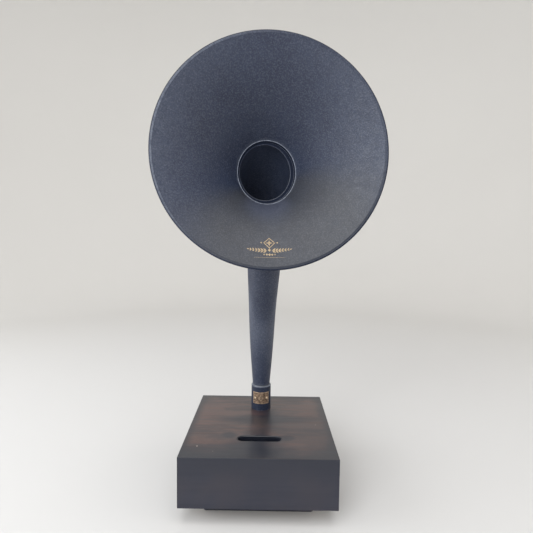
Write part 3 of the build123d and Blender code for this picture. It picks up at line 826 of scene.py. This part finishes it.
def ornament():
    """All quads of the print, as one thin layer on the bell."""
    emblem_y, sprig_y, dots_y, rule_y = 7.5, -3.2, -10.0, -14.0
    quads = moved(lozenge(7.6, 8.4, 0.80, 6), 0, emblem_y) + moved(star(4, 5.2, 1.7), 0, emblem_y)

    def stem(x):
        return sprig_y - 1.0 - 0.0012 * x * x

    def underline(x):
        return rule_y - 0.0034 * x * x

    for side in (-1, 1):
        quads += moved(lozenge(1.3, 1.3), side * 10.2, emblem_y)
        quads += rule(side * 3.0, side * 27.0, stem, 0.40, 0.15)
        for k in range(6):
            x, length = side * (4.0 + 3.8 * k), 5.4 - 0.45 * k
            for lift in (-1, 1):
                outwards = radians(90.0 - side * 90.0 + side * lift * 42.0)
                quads += moved(leaf(length, 0.22 * length), x, stem(x), outwards)
        quads += moved(leaf(3.6, 0.8), side * 25.5, stem(25.5), radians(90.0 - side * 90.0))
        for k in (1, 2):
            quads += moved(lozenge(1.9 - 0.3 * k, 1.9 - 0.3 * k), side * 3.4 * k, dots_y)
        quads += rule(side * 0.2, side * 20.0, underline, 0.17, 0.08)
    quads += moved(lozenge(2.0, 2.6), 0, sprig_y) + moved(lozenge(1.9, 1.9), 0, dots_y)
    points, faces = [], []
    for quad in quads:
        faces.append(tuple(range(len(points), len(points) + 4)))
        points += [print_point(x, y) for x, y in quad]
    piece = mesh_piece("bell_ornament", points, faces, PRINT, turned=True)
    work = bmesh.new()
    work.from_mesh(piece.data)
    bmesh.ops.remove_doubles(work, verts=work.verts, dist=0.01 * MM)
    bmesh.ops.recalc_face_normals(work, faces=work.faces)
    work.to_mesh(piece.data)
    work.free()
    body = piece.modifiers.new("ink", "SOLIDIFY")
    body.thickness, body.offset = 0.05 * MM, 0.0
    finish_piece(piece, "horn", ())


# ---- Wooden base: the CAD boards with eased edges
def paint_node(name, material):
    """Gives a CAD node its material."""
    node = frame["nodes"][name]
    node.data.materials.clear()
    node.data.materials.append(material)
    return node


def ease_edges(name, width, material, segments=3):
    """Gives a CAD node its material and small rounded edges; its shape and place stay."""
    node = paint_node(name, material)
    weld = node.modifiers.new("weld", "WELD")
    weld.merge_threshold = 0.005 * MM
    flat = node.modifiers.new("flat", "DECIMATE")
    flat.decimate_type, flat.angle_limit = "DISSOLVE", radians(0.5)
    round_off = node.modifiers.new("ease", "BEVEL")
    round_off.width, round_off.segments = width, segments
    round_off.limit_method, round_off.angle_limit = "ANGLE", radians(30.0)
    round_off.harden_normals = True


def wooden_base():
    """The box, the plinth and everything inside them."""
    top = stained_top()
    front_back = stained_wood("stained_front", "X", 4.1)
    sides = stained_wood("stained_sides", "Y", 7.3)
    timber, metal = plain_wood(), steel()
    ease_edges("top_board", 0.45 * MM, top)
    for name in ("front_board", "back_board"):
        ease_edges(name, 0.45 * MM, front_back)
    for name in ("left_board", "right_board"):
        ease_edges(name, 0.45 * MM, sides)
    ease_edges("plinth_board", 0.8 * MM, front_back)
    ease_edges("bottom_board", 0.4 * MM, timber)
    for name in ("slot_guide", "duct_front", "duct_back", "duct_left", "duct_right", "front_deflector",
                 "back_deflector", "phone_rest_left", "phone_rest_right"):
        ease_edges(name, 0.3 * MM, timber, 2)
    for end in ("front", "back"):
        for side in ("left", "right"):
            ease_edges("corner_block_" + end + "_" + side, 0.3 * MM, timber, 2)
    for name in ("felt_base", "slot_liner", "rest_pad_left", "rest_pad_right", "seat_washer"):
        paint_node(name, FELT)
    for name in ("bottom_screws", "plinth_screws", "socket_nut", "spigot", "neck_coupling"):
        paint_node(name, metal)
    paint_node("duct_seal", foam())


# ---- Studio
def sweep():
    """A round pale floor that curves up into a wall on every side, well clear of the object."""
    floor_radius, curve, wall_top = 1.5, 0.9, 3.4
    rows = [[0.001, 0.0], [0.4, 0.0], [0.9, 0.0], [floor_radius, 0.0]]
    for angle in spaced(0.0, math.pi / 2, 17)[1:]:
        rows.append([floor_radius + curve * sin(angle), curve * (1 - cos(angle))])
    rows.append([floor_radius + curve, wall_top])
    around = 96
    points = [(radius * cos(angle), radius * sin(angle), height)
              for radius, height in rows for angle in full_turn(around)]
    faces = [tuple(range(around))]
    for i in range(len(rows) - 1):
        for j in range(around):
            k = (j + 1) % around
            faces.append((i * around + j, i * around + k, (i + 1) * around + k, (i + 1) * around + j))
    mesh = bpy.data.meshes.new("studio_sweep")
    mesh.from_pydata(points, [], faces)
    mesh.shade_smooth()
    mesh.materials.append(studio_surface())
    floor = bpy.data.objects.new("studio_sweep", mesh)
    bpy.context.scene.collection.objects.link(floor)


def soft_light(name, place, target, size, power, tint):
    """A square area light that the camera doesn't see."""
    data = bpy.data.lights.new(name, "AREA")
    data.shape, data.size, data.energy, data.color = "SQUARE", size, power, tint
    light = bpy.data.objects.new(name, data)
    light.location = place
    light.rotation_mode = "QUATERNION"
    light.rotation_quaternion = (Vector(target) - Vector(place)).to_track_quat("-Z", "Y")
    light.visible_camera = False
    bpy.context.scene.collection.objects.link(light)


def studio():
    """Even light from the room, a soft window at the front left, and light off the walls and ceiling."""
    scene = bpy.context.scene
    scene.world = bpy.data.worlds.new("studio")
    scene.world.use_nodes = True
    background = scene.world.node_tree.nodes["Background"]
    background.inputs["Color"].default_value = (1.0, 0.985, 0.965, 1.0)
    background.inputs["Strength"].default_value = 0.64
    middle = (0.0, 0.0, 0.33)
    soft_light("window", (-0.9, -1.7, 1.2), middle, 1.2, 22.5, (0.94, 0.975, 1.0))
    soft_light("left_wall", (-1.5, -0.25, 0.65), middle, 1.3, 13.6, (0.96, 0.98, 1.0))
    soft_light("right_wall", (1.5, -0.25, 0.65), middle, 1.3, 4.8, (1.0, 0.98, 0.96))
    soft_light("ceiling", (-0.1, -0.75, 2.1), middle, 1.9, 26.0, (1.0, 0.995, 0.985))
    scene.view_settings.view_transform = "Standard"


def camera():
    """The eye in front of the horn's mouth, a little above the base, looking slightly down."""
    height, distance, aside = 372.5 * MM, 609.2 * MM, 10.3 * MM
    down, swing, roll = radians(3.783), radians(0.327), radians(0.709)
    data = bpy.data.cameras.new("camera")
    data.lens, data.sensor_width = 27.43, 36.0
    data.clip_start, data.clip_end = 0.01, 50.0
    eye = bpy.data.objects.new("camera", data)
    turn = Matrix.Rotation(swing, 4, "Z") @ Matrix.Rotation(math.pi / 2 - down, 4, "X")
    eye.matrix_world = Matrix.Translation((aside, -distance, height)) @ turn @ Matrix.Rotation(roll, 4, "Z")
    bpy.context.scene.collection.objects.link(eye)
    bpy.context.scene.camera = eye


camera()
studio()
sweep()
wooden_base()
socket_collar()
nameplate()
plate_screws()
neck_piece("neck_lower", 0.0, NECK_SPLIT, 44, ("neck_pipe",))
neck_piece("neck_upper", NECK_SPLIT, 1.0, 40, ("elbow_lower", "elbow_upper"))
throat_ring()
bell()
rim()
ornament()
